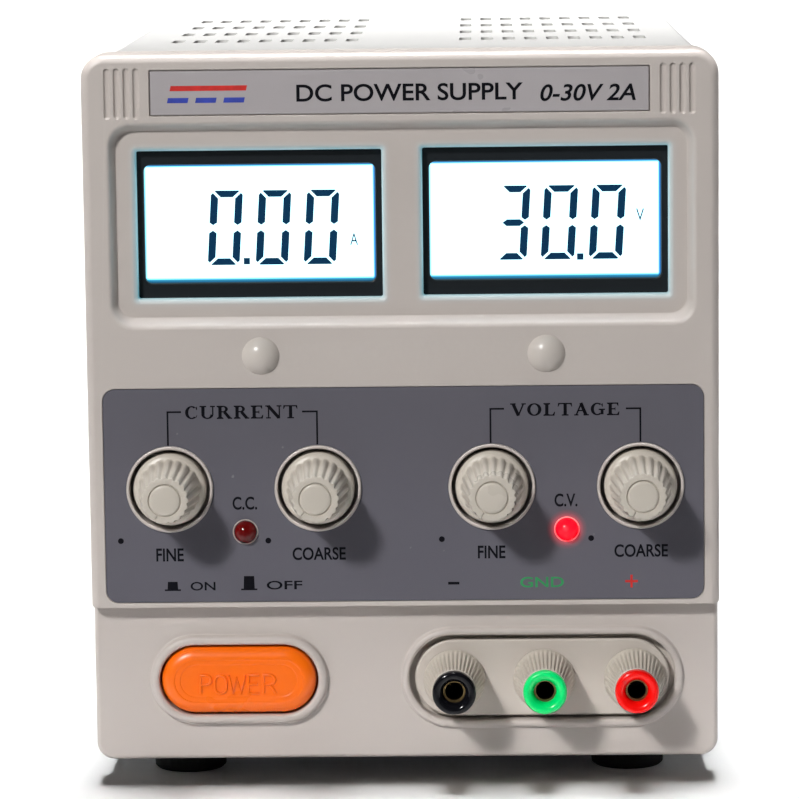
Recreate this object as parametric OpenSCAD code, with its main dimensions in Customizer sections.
// Bench power supply with two panel meters, four control knobs, a latching power button and three binding posts.
// Millimetres. X to the right seen from the front, Y towards the rear, Z up.
// The origin is on the resting plane, at the middle of the whole object's footprint.

/* [Case] */
// Width of the front moulding
case_w = 136; // [134:0.5:138]
// Overall length, from the knob fronts to the ends of the cooling fins
total_l = 291; // [286:1:300]
// Height of the front moulding's top edge above the resting plane
face_top = 159.7; // [159.5:0.1:161]
// Height of the front moulding's bottom edge above the resting plane
face_bottom = 5.7; // [5.4:0.1:6]
// Depth of the front moulding, from its face to its rear rim
fascia_d = 14; // [13.8:0.1:14.2]
// Wall of the front moulding
wall = 2.5; // [2.3:0.1:2.6]
// Distance from the front face to the rear edge of the cover
cover_end = 234; // [232:1:236]
// Sheet thickness of the cover
cover_t = 0.8; // [0.7:0.1:0.9]

/* [Meters] */
// Width of one lit display
lcd_w = 49.7; // [46:0.1:50]
// Height of one lit display
lcd_h = 25.5; // [24:0.1:27]

/* [Controls] */
// How far the knobs reach in front of the face
knob_reach = 15.3; // [15:0.1:16.5]
// Radius of a knob's skirt
knob_skirt_r = 7.84; // [7.4:0.02:8]
// Flutes round one knob
knob_flutes = 20; // [16:1:22]
// Turn of the four pointers at rest, clockwise from straight down, in degrees
knob_turn = [27, 42, 29.6, 27]; // [0:1:300]
// Width of the power button
button_w = 33.6; // [32:0.1:33.8]
// Height of the power button
button_h = 14.5; // [14:0.1:14.7]

/* [Terminals] */
// Positions of the three binding posts across the face
post_x = [10.5, 30.0, 49.7]; // [5:0.1:55]
// Height of the binding posts
post_z = 22.9; // [22.5:0.1:23.3]
// Flutes round one binding-post nut
post_flutes = 30; // [24:1:34]

/* [Cooling] */
// Number of cooling fins
fin_count = 15; // [11:2:17]
// Ventilation slots across one group
vent_cols = 9; // [5:1:9]
// Rows of ventilation slots
vent_rows = 4; // [2:1:4]

/* [Hidden] */

e = 0.1;                              // overshoot of cuts
face_y = knob_reach - total_l / 2;    // row-frame Y of the front face
rear_y = total_l - knob_reach;        // fin ends, measured from the front face
hw = case_w / 2;
step_z = 39.9;                        // where the protruding upper face ends
step_d = 3.8;                         // how far the lower face sits back
cover_x = hw - 1.8;                   // outside of the cover's sides
cover_z = face_top - 1.7;             // outside of the cover's top
floor_z = 7.0;                        // underside of the chassis floor
floor_t = 1.2;
plate_y = rear_y - 275.7 + 231.8;     // inner face of the rear panel
panel_t = 1.2;
knob_x = [-50.5, -18.5, 19.0, 51.0];
knob_z = 66.0;
led_x = [-34.3, 35.1];
led_z = 56.6;
well_r = 8.7;
ring_r = 9.36;
btn = [-36.4, 23.5];                  // middle of the power button
lcd_c = [[-30.35, 122.95], [30.95, 123.15]];
tray = [29.6, 23.5];                  // middle of the terminal trough
trf = [-10, 121];                     // middle of the transformer's core
inl = [-33, 35.5];                    // middle of the mains socket
drw = [-33, 20.5];                    // middle of the fuse drawer
sel = [24, 29];                       // middle of the voltage selector
foot_x = 48.7;
foot_ys = [23.2, 214];

// ---- helpers: y values are measured from the front face ----
module place() translate([0, face_y, 0]) children();
module ext(y0, y1) translate([0, y1, 0]) rotate([90, 0, 0]) linear_extrude(height = y1 - y0) children();
module ycyl(x, z, r, y0, y1) translate([x, y1, z]) rotate([90, 0, 0]) cylinder(r = r, h = y1 - y0, $fn = 64);
module box(x0, x1, y0, y1, z0, z1) translate([x0, y0, z0]) cube([x1 - x0, y1 - y0, z1 - z0]);
module rr(x0, z0, x1, z1, r, rt = -1) {
  t = rt < 0 ? r : rt;
  translate([x0 + r, z0]) square([x1 - x0 - 2 * r, r]);
  translate([x0, z0 + r]) square([x1 - x0, z1 - z0 - r - t]);
  translate([x0 + t, z1 - t]) square([x1 - x0 - 2 * t, t]);
  for (x = [x0 + r, x1 - r]) translate([x, z0 + r]) circle(r = r, $fn = 48);
  for (x = [x0 + t, x1 - t]) translate([x, z1 - t]) circle(r = t, $fn = 48);
}
module crr(c, w, h, r) rr(c[0] - w / 2, c[1] - h / 2, c[0] + w / 2, c[1] + h / 2, r);
module stadium(c, w, h) {
  translate([c[0] - w / 2 + h / 2, c[1] - h / 2]) square([w - h, h]);
  for (s = [-1, 1]) translate([c[0] + s * (w - h) / 2, c[1]]) circle(r = h / 2, $fn = 64);
}
// turned profile about the Y axis through (x, z): points are [radius, y]
module turned(x, z, pts) translate([x, 0, z]) rotate([90, 0, 0]) rotate_extrude($fn = 72)
  polygon([for (p = pts) [p[0], -p[1]]]);

// ---- front moulding ----
module front_fascia() color([0.70, 0.67, 0.64]) place() difference() {
  union() {
    difference() {
      union() {
        ext(0, fascia_d) rr(-hw, step_z, hw, face_top, 0.6, 5.3);
        ext(step_d, fascia_d) rr(-hw + 0.2, face_bottom, hw - 0.2, step_z + 5, 3.8, 0.6);
      }
      ext(wall, fascia_d + e) rr(-hw + wall, step_z + wall, hw - wall, face_top - wall, 1, 3.2);
      ext(step_d + wall, fascia_d + e) rr(-hw + wall, face_bottom + wall, hw - wall, face_top - wall, 1.6, 3.2);
      ext(9.8, fascia_d + e) rr(-cover_x - 0.1, floor_z - 0.1, cover_x + 0.1, cover_z + 0.1, 0.4, 2.6);
    }
    // wall behind the meter recess
    ext(wall - e, 5) rr(-hw + wall - e, 98.5, hw - wall + e, 147.6, 1);
    // knob wells with their raised rings
    for (x = knob_x) ycyl(x, knob_z, ring_r, -0.6, 1);
    for (x = knob_x) ycyl(x, knob_z, well_r + 1.6, 1, 8);
    // raised rims of the power button and of the terminal trough
    ext(2.0, step_d + wall) stadium(btn, 38.6, 19.5);
    ext(2.6, step_d + wall) stadium(tray, 61.3, 22.2);
    // bosses for the chassis lip and for the meter board
    for (s = [-1, 1]) ycyl(s * 58.5, 12.2, 2.95, step_d + 1, fascia_d + 0.2);
    for (s = [-1, 1], z = [100.6, 145.6]) ycyl(s * 62, z, 2.9, wall, 12);
  }
  // meter recess and its two windows
  ext(-e, wall) rr(-61.7, 102.1, 62.0, 144.0, 3.4);
  for (c = lcd_c) ext(0, 6) crr(c, lcd_w + 2.9, lcd_h + 6.3, 1.4);
  // nameplate recess and corner grooves
  ext(-e, 0.8) rr(-53.3, 146.5, 53.3, 156.35, 0.3);
  for (s = [-1, 1], i = [0:3]) ext(-e, 0.8) crr([s * (56.1 + i * 2.07), 151.35], 1.1, 10.7, 0.54);
  // overlay recess, open round the knob rings
  difference() {
    ext(-e, 0.5) rr(-64.75, 41.1, 64.75, 88.0, 2.8);
    for (x = knob_x) ycyl(x, knob_z, ring_r, -1, 2);
  }
  for (x = knob_x) { ycyl(x, knob_z, well_r, -1, 6); ycyl(x, knob_z, 3.6, 5, 9); }
  for (x = led_x) ycyl(x, led_z, 2.6, -1, 4);
  for (x = [-30.4, 30.9]) ycyl(x, 94.9, 2.5, -1, 4);
  // through openings of the button and the trough
  ext(1, 8) stadium(btn, 34.55, 15.5);
  ext(1, 8) stadium(tray, 57.8, 18.75);
  // screw holes
  for (s = [-1, 1]) ycyl(s * 58.5, 12.2, 1.5, 7.5, 15);
  for (s = [-1, 1], z = [100.6, 145.6]) ycyl(s * 62, z, 1.5, 6.5, 13);
}

module control_overlay() color([0.38, 0.37, 0.41]) place() difference() {
  ext(0.1, 0.5) rr(-64.6, 41.25, 64.6, 87.85, 2.65);
  for (x = knob_x) ycyl(x, knob_z, ring_r + 0.06, -1, 2);
  for (x = led_x) ycyl(x, led_z, 2.62, -1, 2);
}

module nameplate() color([0.67, 0.63, 0.65]) place() ext(0.15, 0.8) rr(-53.05, 146.75, 53.05, 156.1, 0.2);

// ---- meters ----
module meter_frames() color([0.08, 0.08, 0.08]) place() for (c = lcd_c) difference() {
  ext(5.1, 9.2) crr(c, 57.4, 38.4, 1.2);
  ext(5, 6.5) crr(c, lcd_w, lcd_h, 1.4);
  ext(6.4, 9.3) crr(c, lcd_w + 4, lcd_h + 4.4, 0.6);
}
module lcd_panels() color([0.93, 0.98, 1.0]) place() for (c = lcd_c) ext(6.5, 8.7) crr(c, lcd_w + 3.7, lcd_h + 4.1, 0.4);
module meter_backlights() color([0.85, 0.95, 1.0]) place() for (c = lcd_c) ext(9.3, 11.9) crr(c, 55, 34, 0.8);
module meter_board() color([0.10, 0.35, 0.18]) place() difference() {
  ext(12.1, 13.7) rr(-65, 97.4, 65, 148.6, 1);
  for (s = [-1, 1], z = [100.6, 145.6]) ycyl(s * 62, z, 1.6, 12, 14);
}

module blanking_plugs() color([0.71, 0.67, 0.64]) place() for (x = [-30.4, 30.9]) {
  intersection() {
    translate([x, 2.55, 94.9]) sphere(r = 4.8, $fn = 72);
    ycyl(x, 94.9, 4.03, -3, -0.02);
  }
  ycyl(x, 94.9, 2.4, -0.4, 3.6);
}

// ---- knobs: a fluted body, a press-in cap and the control's spindle ----
module knob_body(i) color([0.73, 0.69, 0.66]) place() translate([knob_x[i], 0, knob_z]) rotate([0, knob_turn[i], 0]) difference() {
  turned(0, 0, [[0, 3.6], [7.4, 3.6], [knob_skirt_r, 3.2], [knob_skirt_r, -0.1], [7.1, -1.0], [6.75, -1.1], [5.15, -14.4], [4.7, -15.0], [0, -15.0]]);
  ycyl(0, 0, 4.3, 1.8, 4);
  difference() { ycyl(0, 0, 3.02, -9.2, 4); box(-4, 4, -9.5, 0.2, 2.02, 4); }
  ycyl(0, 0, 3.74, -16, -14.0);
  for (k = [0:knob_flutes - 1]) rotate([0, k * 360 / knob_flutes, 0])
    translate([0, -1.8, -6.98]) rotate([97.0, 0, 0]) cylinder(r = 0.52, h = 16, $fn = 24);
  box(-0.35, 0.35, -16, -14.5, -6, -3.9);
}
module knob_cap(i) color([0.74, 0.70, 0.67]) place() turned(knob_x[i], knob_z, [[0, -14.02], [3.63, -14.02], [3.63, -15.05], [3.4, -knob_reach], [0, -knob_reach]]);
module knob_shaft(i) color([0.75, 0.75, 0.76]) place() translate([knob_x[i], 0, knob_z]) rotate([0, knob_turn[i], 0]) difference() {
  ycyl(0, 0, 3.0, -9.0, 14.6);
  box(-4, 4, -9.5, 0.3, 1.98, 4);
}
module current_fine_knob() knob_body(0);
module current_fine_cap() knob_cap(0);
module current_fine_shaft() knob_shaft(0);
module current_coarse_knob() knob_body(1);
module current_coarse_cap() knob_cap(1);
module current_coarse_shaft() knob_shaft(1);
module voltage_fine_knob() knob_body(2);
module voltage_fine_cap() knob_cap(2);
module voltage_fine_shaft() knob_shaft(2);
module voltage_coarse_knob() knob_body(3);
module voltage_coarse_cap() knob_cap(3);
module voltage_coarse_shaft() knob_shaft(3);

module potentiometers() color([0.35, 0.37, 0.42]) place() for (x = knob_x) difference() {
  union() {
    ycyl(x, knob_z, 3.5, 2.6, 9);
    ycyl(x, knob_z, 8.2, 8.1, 16.9);
    box(x - 5, x + 5, 14.5, 16.9, knob_z - 12.5, knob_z - 6);
  }
  ycyl(x, knob_z, 3.05, 2, 15);
}
module pot_nuts() color([0.72, 0.72, 0.72]) place() for (x = knob_x) difference() {
  translate([x, 5.9, knob_z]) rotate([90, 0, 0]) cylinder(r = 5.77, h = 1.7, $fn = 6);
  ycyl(x, knob_z, 3.55, 3, 7);
}
module control_board() color([0.10, 0.35, 0.18]) place() difference() {
  ext(17.1, 18.7) rr(-61, 46, 61, 86, 1);
  for (x = [-55, 55]) ycyl(x, 82, 1.6, 16, 20);
}

module led(x) place() {
  translate([x, 0.2, led_z]) sphere(r = 2.5, $fn = 48);
  ycyl(x, led_z, 2.5, 0.2, 6.4);
  ycyl(x, led_z, 2.9, 5.4, 6.4);
  for (s = [-1, 1]) box(x + s * 1.27 - 0.25, x + s * 1.27 + 0.25, 6, 17.0, led_z - 0.25, led_z + 0.25);
}
module cc_led() color([0.32, 0.05, 0.05]) led(led_x[0]);
module cv_led() color([1.0, 0.05, 0.12]) led(led_x[1]);

// ---- power switch ----
module power_button() color([1.0, 0.45, 0.08]) place() difference() {
  union() {
    ext(1.2, 12) stadium(btn, button_w, button_h);
    ext(10.8, 12) stadium(btn, 36.8, 17.6);
  }
  difference() {
    ext(3.6, 13) stadium(btn, button_w - 3, button_h - 3);
    ext(3, 12) crr(btn, 8, 8, 1);
  }
  box(btn[0] - 2.02, btn[0] + 2.02, 4.9, 13, btn[1] - 2.02, btn[1] + 2.02);
  difference() {
    ext(1, 1.5) stadium(btn, 27.9, 9.2);
    ext(0.9, 1.6) stadium(btn, 26.9, 8.2);
  }
}
module switch_plunger() color([0.92, 0.92, 0.90]) place() box(btn[0] - 2, btn[0] + 2, 5, 26, btn[1] - 2, btn[1] + 2);
module power_switch() color([0.12, 0.12, 0.13]) place() difference() {
  union() {
    box(btn[0] - 8, btn[0] + 8, 20, 42, btn[1] - 7, btn[1] + 7);
    for (sx = [-1, 1], sz = [-1, 1]) box(btn[0] + sx * 4 - 1.5, btn[0] + sx * 4 + 1.5, 41, 48, btn[1] + sz * 3.6 - 0.4, btn[1] + sz * 3.6 + 0.4);
  }
  box(btn[0] - 2.08, btn[0] + 2.08, 19, 28, btn[1] - 2.08, btn[1] + 2.08);
}

// ---- binding posts ----
module terminal_plate() color([0.71, 0.67, 0.64]) place() difference() {
  union() {
    ext(4.0, 6.6) stadium([tray[0], tray[1] - 0.2], 55.4, 16.9);
    ext(6.5, 8.6) stadium(tray, 62.2, 23.2);
  }
  for (x = post_x) ycyl(x, post_z, 3.1, 3, 10);
}
module post_studs() color([0.78, 0.62, 0.30]) place() for (x = post_x) difference() {
  union() {
    ycyl(x, post_z, 3.0, -8.2, 21);
    ycyl(x, post_z, 4.6, 3.2, 3.95);
  }
  ycyl(x, post_z, 2.0, -9, 6);
}
module post_rear_nuts() color([0.78, 0.76, 0.70]) place() for (x = post_x) difference() {
  translate([x, 12.9, post_z]) rotate([90, 0, 0]) cylinder(r = 5.6, h = 4.2, $fn = 6);
  ycyl(x, post_z, 3.04, 8, 14);
}
module post_nut(i) color([0.73, 0.69, 0.65]) place() difference() {
  turned(post_x[i], post_z, [[0, 3.9], [6.5, 3.9], [6.7, 3.7], [6.55, 2.6], [4.85, -8.3], [4.6, -8.6], [0, -8.6]]);
  ycyl(post_x[i], post_z, 3.06, -9, 4);
  ycyl(post_x[i], post_z, 5.4, 2.2, 4);
  for (k = [0:post_flutes - 1]) translate([post_x[i], 0, post_z]) rotate([0, k * 360 / post_flutes, 0])
    translate([0, 2.2, -6.72]) rotate([98.85, 0, 0]) cylinder(r = 0.30, h = 13, $fn = 24);
}
module post_ring(i) place() turned(post_x[i], post_z,
  [[2.35, -8.62], [4.55, -8.62], [4.7, -8.8], [4.7, -10.3], [4.5, -10.8], [4.0, -11.0], [3.4, -10.9], [2.75, -10.3], [2.35, -9.7]]);
module clamp_washer(i) color([0.80, 0.80, 0.78]) place() difference() {
  ycyl(post_x[i], post_z, 5.2, 2.3, 3.1);
  ycyl(post_x[i], post_z, 3.08, 2, 4);
}
module negative_post_nut() post_nut(0);
module ground_post_nut() post_nut(1);
module positive_post_nut() post_nut(2);
module negative_post_ring() color([0.10, 0.10, 0.11]) post_ring(0);
module ground_post_ring() color([0.10, 0.85, 0.38]) post_ring(1);
module positive_post_ring() color([0.95, 0.06, 0.05]) post_ring(2);
module negative_clamp_washer() clamp_washer(0);
module ground_clamp_washer() clamp_washer(1);
module positive_clamp_washer() clamp_washer(2);

// ---- sheet metal ----
module top_cover() color([0.93, 0.92, 0.91]) place() difference() {
  ext(10.2, cover_end) rr(-cover_x, floor_z, cover_x, cover_z, 0.2, 2.5);
  ext(10, cover_end + e) rr(-cover_x + cover_t, 0, cover_x - cover_t, cover_z - cover_t, 0.2, 1.7);
  for (s = [-1, 1], i = [0:vent_cols - 1], j = [0:vent_rows - 1])
    translate([s * (13.2 + i * 5.08) + 0.7, 88 + j * 34, cover_z - 2]) linear_extrude(height = 3) {
      square([2.8, 10.2], center = true);
      for (t = [-5.1, 5.1]) translate([0, t]) circle(r = 1.4, $fn = 24);
    }
  for (s = [-1, 1], y = [50, 200]) translate([s * (cover_x - 2), y, 14]) rotate([0, 90, 0]) cylinder(r = 1.6, h = 6, center = true, $fn = 32);
}
module base_chassis() color([0.80, 0.80, 0.81]) place() difference() {
  union() {
    box(-cover_x + 0.9, cover_x - 0.9, 14.3, plate_y - 0.1, floor_z, floor_z + floor_t);
    for (s = [-1, 1]) translate([s * (cover_x - 1.4), 0, 0]) box(-0.5, 0.5, 14.3, plate_y - 0.1, floor_z, 22);
    box(-63.5, 63.5, 14.3, 15.5, floor_z, 16.6);
    box(-64, 64, plate_y - 1.3, plate_y - 0.1, floor_z, 13.8);
    box(btn[0] - 11, btn[0] + 11, 18.6, 19.8, floor_z, 32);
    for (y = [50, 190]) box(57.8, 59.0, y - 6, y + 6, floor_z, 36);
  }
  for (s = [-1, 1]) ycyl(s * 58.5, 12.2, 1.7, 13, 17);
  for (s = [-1, 1], y = foot_ys) translate([s * foot_x, y, 5]) cylinder(r = 1.6, h = 5, $fn = 32);
  for (x = [-59.5, 39.5]) translate([x, trf[1], 5]) cylinder(r = 1.6, h = 5, $fn = 32);
  for (s = [-1, 1], y = [50, 200]) translate([s * (cover_x - 1.5), y, 14]) rotate([0, 90, 0]) cylinder(r = 1.5, h = 4, center = true, $fn = 32);
  for (x = [-61.5, 61.5]) ycyl(x, 11, 1.6, plate_y - 3, plate_y + 1);
  box(btn[0] - 5, btn[0] + 5, 18, 21, btn[1] - 5, btn[1] + 5);
  for (y = [50, 190]) translate([58, y, 30]) rotate([0, 90, 0]) cylinder(r = 1.6, h = 6, center = true, $fn = 32);
}
module rear_panel() color([0.82, 0.82, 0.82]) place() difference() {
  ext(plate_y, plate_y + panel_t) rr(-cover_x + 1.0, floor_z + 1.4, cover_x - 1.0, cover_z - 1.4, 0.4, 1.6);
  box(inl[0] - 14.2, inl[0] + 14.2, plate_y - 1, plate_y + 3, 14.3, 45.7);
  for (s = [-1, 1]) ycyl(inl[0] + s * 20, 30, 1.6, plate_y - 1, plate_y + 3);
  box(sel[0] - 11.2, sel[0] + 11.2, plate_y - 1, plate_y + 3, sel[1] - 6.7, sel[1] + 6.7);
  for (s = [-1, 1]) ycyl(sel[0] + s * 15, sel[1], 1.6, plate_y - 1, plate_y + 3);
  for (x = [-25, 25]) box(x - 14.5, x + 14.5, plate_y - 1, plate_y + 3, 78, 122);
  for (x = [-61.5, 61.5]) ycyl(x, 11, 1.6, plate_y - 1, plate_y + 3);
  for (x = [-52, 52], z = [58, 142]) ycyl(x, z, 1.6, plate_y - 1, plate_y + 3);
}
module heat_sink() color([0.10, 0.10, 0.11]) place() difference() {
  union() {
    box(-58, 58, plate_y + panel_t + 0.1, plate_y + 6.2, 50, 150);
    for (i = [0:fin_count - 1]) { x = -57 + i * 114 / (fin_count - 1); box(x - 1, x + 1, plate_y + 6, rear_y, 50, 150); }
  }
  for (x = [-52, 52], z = [58, 142]) ycyl(x, z, 1.5, plate_y, plate_y + 5);
  for (x = [-25, 25], z = [84.9, 115.1]) ycyl(x, z, 1.5, plate_y, plate_y + 5.5);
}
module power_transistors() color([0.72, 0.72, 0.74]) place() for (x = [-25, 25]) {
  difference() {
    union() {
      ext(plate_y - 0.4, plate_y + 1.25) translate([x, 100]) rotate(90) polygon([[-19.5, -3.5], [-19.5, 3.5], [-6, 12.5], [6, 12.5], [19.5, 3.5], [19.5, -3.5], [6, -12.5], [-6, -12.5]]);
      ycyl(x, 100, 11, plate_y - 7.4, plate_y);
    }
    for (z = [84.9, 115.1]) ycyl(x, z, 1.6, plate_y - 2, plate_y + 2);
  }
}
module rubber_feet() color([0.05, 0.05, 0.05]) place() for (s = [-1, 1], y = foot_ys) translate([s * foot_x, y, 0]) difference() {
  rotate_extrude($fn = 64) polygon([[0, 0], [7.4, 0], [7.9, 0.5], [8.5, floor_z - 0.02], [0, floor_z - 0.02]]);
  translate([0, 0, -1]) cylinder(r = 3.4, h = 4.6, $fn = 48);
  translate([0, 0, 3]) cylinder(r = 1.6, h = 6, $fn = 32);
}

// ---- fasteners: one size of pan-head machine screw, head towards -Z here ----
module screw(l = 6) difference() {
  union() { translate([0, 0, -1.6]) cylinder(r = 2.75, h = 1.6, $fn = 48); translate([0, 0, -0.2]) cylinder(r = 1.42, h = l + 0.2, $fn = 32); }
  for (a = [0, 90]) rotate(a) translate([-1.6, -0.35, -2]) cube([3.2, 0.7, 1.3]);
}
module machine_screws() color([0.78, 0.78, 0.80]) place() {
  for (s = [-1, 1], y = foot_ys) translate([s * foot_x, y, 3.58]) screw();
  for (x = [-59.5, 39.5]) translate([x, trf[1], floor_z - 0.02]) screw();
  for (s = [-1, 1], y = [50, 200]) translate([s * (cover_x + 0.02), y, 14]) rotate([0, -90 * s, 0]) screw();
  for (s = [-1, 1]) translate([s * 58.5, 15.52, 12.2]) rotate([90, 0, 0]) screw();
  for (s = [-1, 1], z = [100.6, 145.6]) translate([s * 62, 13.72, z]) rotate([90, 0, 0]) screw();
  for (x = [-61.5, 61.5]) translate([x, plate_y + panel_t + 0.02, 11]) rotate([90, 0, 0]) screw();
  for (x = [-52, 52], z = [58, 142]) translate([x, plate_y - 0.02, z]) rotate([-90, 0, 0]) screw(4.8);
  for (x = [-25, 25], z = [84.9, 115.1]) translate([x, plate_y - 0.42, z]) rotate([-90, 0, 0]) screw(5.6);
  for (s = [-1, 1]) translate([inl[0] + s * 20, plate_y + 3.82, 30]) rotate([90, 0, 0]) screw();
  for (s = [-1, 1]) translate([sel[0] + s * 15, plate_y + panel_t + 0.02, sel[1]]) rotate([90, 0, 0]) screw();
  for (y = [50, 190]) translate([55.98, y, 30]) rotate([0, 90, 0]) screw();
}

// ---- transformer ----
module transformer_core() color([0.45, 0.44, 0.43]) place() difference() {
  box(trf[0] - 42, trf[0] + 42, trf[1] - 21, trf[1] + 21, floor_z + floor_t + 0.1, floor_z + floor_t + 70.1);
  for (s = [-1, 1]) box(trf[0] + s * 21 - 7, trf[0] + s * 21 + 7, trf[1] - 22, trf[1] + 22, 22.3, 64.3);
}
module transformer_coil() color([0.85, 0.70, 0.35]) place() difference() {
  box(trf[0] - 27.7, trf[0] + 27.7, trf[1] - 34, trf[1] + 34, 22.6, 64.0);
  box(trf[0] - 14.3, trf[0] + 14.3, trf[1] - 21.3, trf[1] + 21.3, 20, 67);
}
module transformer_clamp() color([0.74, 0.72, 0.66]) place() difference() {
  union() {
    box(trf[0] - 43.6, trf[0] + 43.6, trf[1] - 14, trf[1] + 14, 78.5, 79.8);
    for (s = [-1, 1]) translate([trf[0] + s * 43, 0, 0]) box(-0.6, 0.6, trf[1] - 14, trf[1] + 14, floor_z + floor_t + 0.05, 79.8);
    for (s = [-1, 1]) translate([trf[0] + s * 48.2, 0, 0]) box(-5.6, 5.6, trf[1] - 14, trf[1] + 14, floor_z + floor_t + 0.05, floor_z + floor_t + 1.3);
  }
  for (x = [-59.5, 39.5]) translate([x, trf[1], 5]) cylinder(r = 1.6, h = 8, $fn = 32);
}

// ---- electronics ----
module main_board() color([0.10, 0.35, 0.18]) place() difference() {
  box(56, 57.6, 34, 212, 20, 126);
  for (y = [50, 190]) translate([57, y, 30]) rotate([0, 90, 0]) cylinder(r = 1.6, h = 6, center = true, $fn = 32);
}
module filter_capacitors() color([0.12, 0.14, 0.30]) place() for (y = [170, 198]) translate([55.9, y, 76]) rotate([0, -90, 0])
  rotate_extrude($fn = 64) polygon([[0, 0], [12.5, 0], [12.5, 2.4], [12.1, 2.9], [12.1, 3.4], [12.5, 3.9], [12.5, 39.4], [11.9, 40], [0, 40]]);
module bridge_rectifier() color([0.15, 0.15, 0.16]) place() difference() {
  box(45.9, 55.9, 56, 84, 76, 104);
  translate([50, 70, 90]) rotate([0, 90, 0]) cylinder(r = 2.2, h = 14, center = true, $fn = 32);
}

// ---- mains side ----
module mains_inlet() color([0.09, 0.09, 0.10]) place() difference() {
  union() {
    ext(plate_y + panel_t + 0.05, plate_y + 3.8) rr(inl[0] - 25, 13.2, inl[0] + 25, 46.8, 2);
    box(inl[0] - 14, inl[0] + 14, plate_y - 24, plate_y + 2, 14.5, 45.5);
  }
  ext(plate_y - 14.6, plate_y + 5) crr(inl, 24.4, 16.8, 1.5);
  box(drw[0] - 12, drw[0] + 12, plate_y - 18.6, plate_y + 5, drw[1] - 4.5, drw[1] + 4.5);
  for (p = [[-7, -2], [7, -2], [0, 2]]) box(inl[0] + p[0] - 1.02, inl[0] + p[0] + 1.02, plate_y - 25, plate_y - 10, inl[1] + p[1] - 2.02, inl[1] + p[1] + 2.02);
  for (s = [-1, 1]) ycyl(inl[0] + s * 20, 30, 1.6, plate_y, plate_y + 5);
}
module inlet_pins() color([0.80, 0.78, 0.72]) place() for (p = [[-7, -2], [7, -2], [0, 2]])
  box(inl[0] + p[0] - 1, inl[0] + p[0] + 1, plate_y - 31, plate_y - 0.8, inl[1] + p[1] - 2, inl[1] + p[1] + 2);
module fuse_drawer() color([0.12, 0.12, 0.13]) place() difference() {
  union() {
    box(drw[0] - 11.8, drw[0] + 11.8, plate_y - 18.3, plate_y + 4.3, drw[1] - 4.3, drw[1] + 4.3);
  }
  box(drw[0] - 10.3, drw[0] + 10.3, plate_y - 13, plate_y - 6.6, drw[1] - 3.2, drw[1] + 5);
  box(drw[0] - 4, drw[0] + 4, plate_y + 2.6, plate_y + 3.4, drw[1] - 5, drw[1] - 1.5);
}
module fuse() color([0.85, 0.87, 0.88]) place() translate([drw[0] - 10, plate_y - 9.8, drw[1] + 0.1]) rotate([0, 90, 0]) cylinder(r = 2.6, h = 20, $fn = 48);
module voltage_selector() color([0.10, 0.10, 0.11]) place() difference() {
  union() {
    box(sel[0] - 11, sel[0] + 11, plate_y - 11, plate_y + 1.1, sel[1] - 6.5, sel[1] + 6.5);
    box(sel[0] - 18.5, sel[0] + 18.5, plate_y - 1.4, plate_y - 0.1, sel[1] - 6.5, sel[1] + 6.5);
  }
  box(sel[0] - 7, sel[0] + 7, plate_y - 3, plate_y + 2, sel[1] - 3.6, sel[1] + 3.6);
  for (s = [-1, 1]) ycyl(sel[0] + s * 15, sel[1], 1.45, plate_y - 4, plate_y + 2);
}
module selector_slider() color([0.80, 0.06, 0.05]) place() difference() {
  box(sel[0] - 6.8, sel[0] - 0.3, plate_y - 2.9, plate_y + 1.7, sel[1] - 3.4, sel[1] + 3.4);
  box(sel[0] - 5.2, sel[0] - 1.9, plate_y + 0.7, plate_y + 2, sel[1] - 0.5, sel[1] + 0.5);
}

// ---- wiring: round tubes swept along smooth routes ----
function cr(p0, p1, p2, p3, t) = 0.5 * ((2 * p1) + (p2 - p0) * t + (2 * p0 - 5 * p1 + 4 * p2 - p3) * t * t + (3 * p1 - p0 - 3 * p2 + p3) * t * t * t);
function smooth_path(p, n) = let (m = len(p)) concat([for (i = [0:m - 2], k = [0:n - 1])
  cr(p[max(i - 1, 0)], p[i], p[i + 1], p[min(i + 2, m - 1)], k / n)], [p[m - 1]]);
function unit(v) = v / norm(v);
function tangent(p, i) = unit(p[min(i + 1, len(p) - 1)] - p[max(i - 1, 0)]);
function side(t, prev) = unit(prev - t * (prev * t));
function sides(p, i, acc) = i >= len(p) ? acc : sides(p, i + 1, concat(acc, [side(tangent(p, i), acc[i - 1])]));
module wire(route, r, n = 4, seg = 8) {
  p = smooth_path(route, n);
  t0 = tangent(p, 0);
  s0 = side(t0, abs(t0[2]) < 0.8 ? [0, 0, 1] : [1, 0, 0]);
  ss = sides(p, 1, [s0]);
  m = len(p);
  pts = [for (i = [0:m - 1], k = [0:seg - 1]) let (u = ss[i], v = cross(tangent(p, i), u), a = 360 * k / seg) p[i] + r * (cos(a) * u + sin(a) * v)];
  polyhedron(points = pts, faces = concat([[for (k = [0:seg - 1]) k]],
    [for (i = [0:m - 2], k = [0:seg - 1]) [i * seg + k, (i + 1) * seg + k, (i + 1) * seg + (k + 1) % seg, i * seg + (k + 1) % seg]],
    [[for (k = [seg - 1:-1:0]) (m - 1) * seg + k]]), convexity = 6);
}
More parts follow.
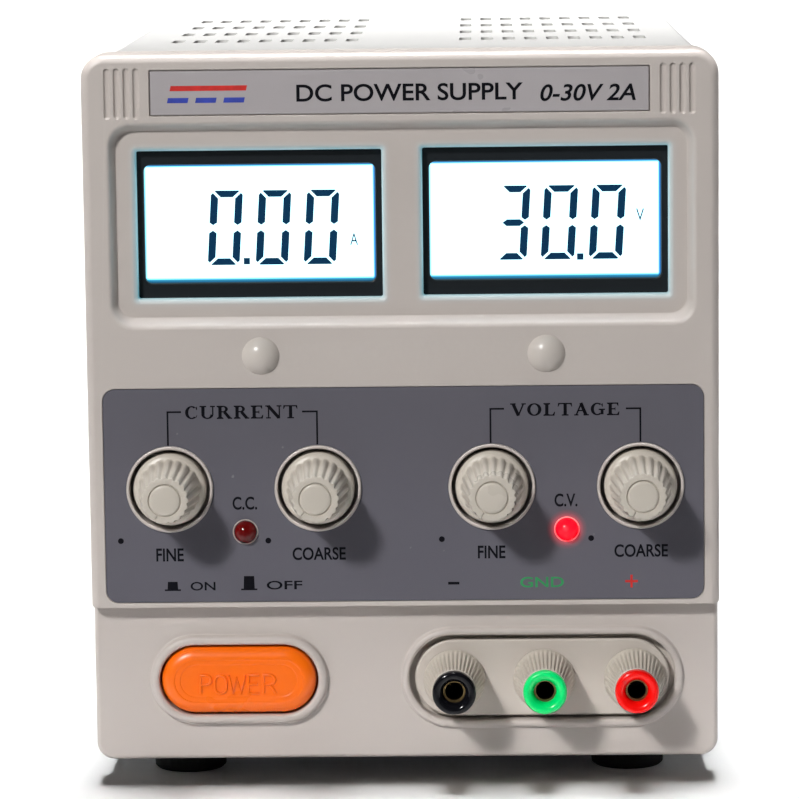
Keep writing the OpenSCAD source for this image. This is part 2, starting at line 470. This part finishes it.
wires = [
  // mains leads, inlet to switch
  [[-40, 200.3, 33.5], [-40.5, 194, 33], [-54, 178, 18], [-60.8, 150, 17], [-60.8, 80, 18], [-52, 62, 24], [-40.4, 54, 27.1], [-40.4, 48.4, 27.1]],
  [[-26, 200.3, 33.5], [-26.5, 194, 32], [-38, 176, 22], [-54, 156, 15.2], [-57.6, 140, 15.2], [-57.6, 80, 15.2], [-48, 62, 18], [-40.4, 54, 19.9], [-40.4, 48.4, 19.9]],
  // switch to the transformer's primary
  [[-32.4, 48.4, 27.1], [-32.4, 54, 27.4], [-29, 70, 46], [-26, 81, 56], [-26, 86.6, 56]],
  [[-32.4, 48.4, 19.9], [-32.2, 54, 20.2], [-24, 70, 34], [-18, 81, 44], [-18, 86.6, 44]],
  // secondary leads to the board
  [[0, 155.4, 50], [0.6, 161, 50.5], [24, 168, 60], [46, 152, 64], [52, 146, 64], [55.5, 146, 64]],
  [[-4, 155.4, 34], [-3.4, 161, 34], [26, 170, 40], [46, 158, 50], [52, 152, 50], [55.5, 152, 50]],
  // output leads to the posts
  [[10.5, 21.4, 22.9], [10.6, 27, 23.2], [22, 44, 38], [40, 58, 48], [51, 60, 50], [55.5, 60, 50]],
  [[30.0, 21.4, 22.9], [30.1, 27, 23.2], [36, 38, 36], [45, 48, 44], [51, 50, 44.5], [55.5, 50, 44.5]],
  [[49.7, 21.4, 22.9], [49.6, 27, 23.4], [48, 36, 35], [49, 41, 38], [52, 42, 38], [55.5, 42, 38]],
  // meter and control leads
  [[40, 19.1, 70], [40.2, 24, 70.6], [46, 36, 92], [51, 40, 100], [55.5, 40, 100]],
  [[48, 14.1, 120], [48.2, 20, 120], [48.6, 38, 116], [51.5, 46, 112], [55.5, 46, 112]]
];
module internal_wiring() color([0.75, 0.12, 0.10]) place() for (w = wires) wire(w, 1.1);

front_fascia();
control_overlay();
nameplate();
meter_frames();
lcd_panels();
meter_backlights();
meter_board();
blanking_plugs();
current_fine_knob();
current_fine_cap();
current_fine_shaft();
current_coarse_knob();
current_coarse_cap();
current_coarse_shaft();
voltage_fine_knob();
voltage_fine_cap();
voltage_fine_shaft();
voltage_coarse_knob();
voltage_coarse_cap();
voltage_coarse_shaft();
potentiometers();
pot_nuts();
control_board();
cc_led();
cv_led();
power_button();
switch_plunger();
power_switch();
terminal_plate();
post_studs();
post_rear_nuts();
negative_post_nut();
ground_post_nut();
positive_post_nut();
negative_post_ring();
ground_post_ring();
positive_post_ring();
negative_clamp_washer();
ground_clamp_washer();
positive_clamp_washer();
top_cover();
base_chassis();
rear_panel();
heat_sink();
power_transistors();
machine_screws();
rubber_feet();
transformer_core();
transformer_coil();
transformer_clamp();
main_board();
filter_capacitors();
bridge_rectifier();
mains_inlet();
inlet_pins();
fuse_drawer();
fuse();
voltage_selector();
selector_slider();
internal_wiring();
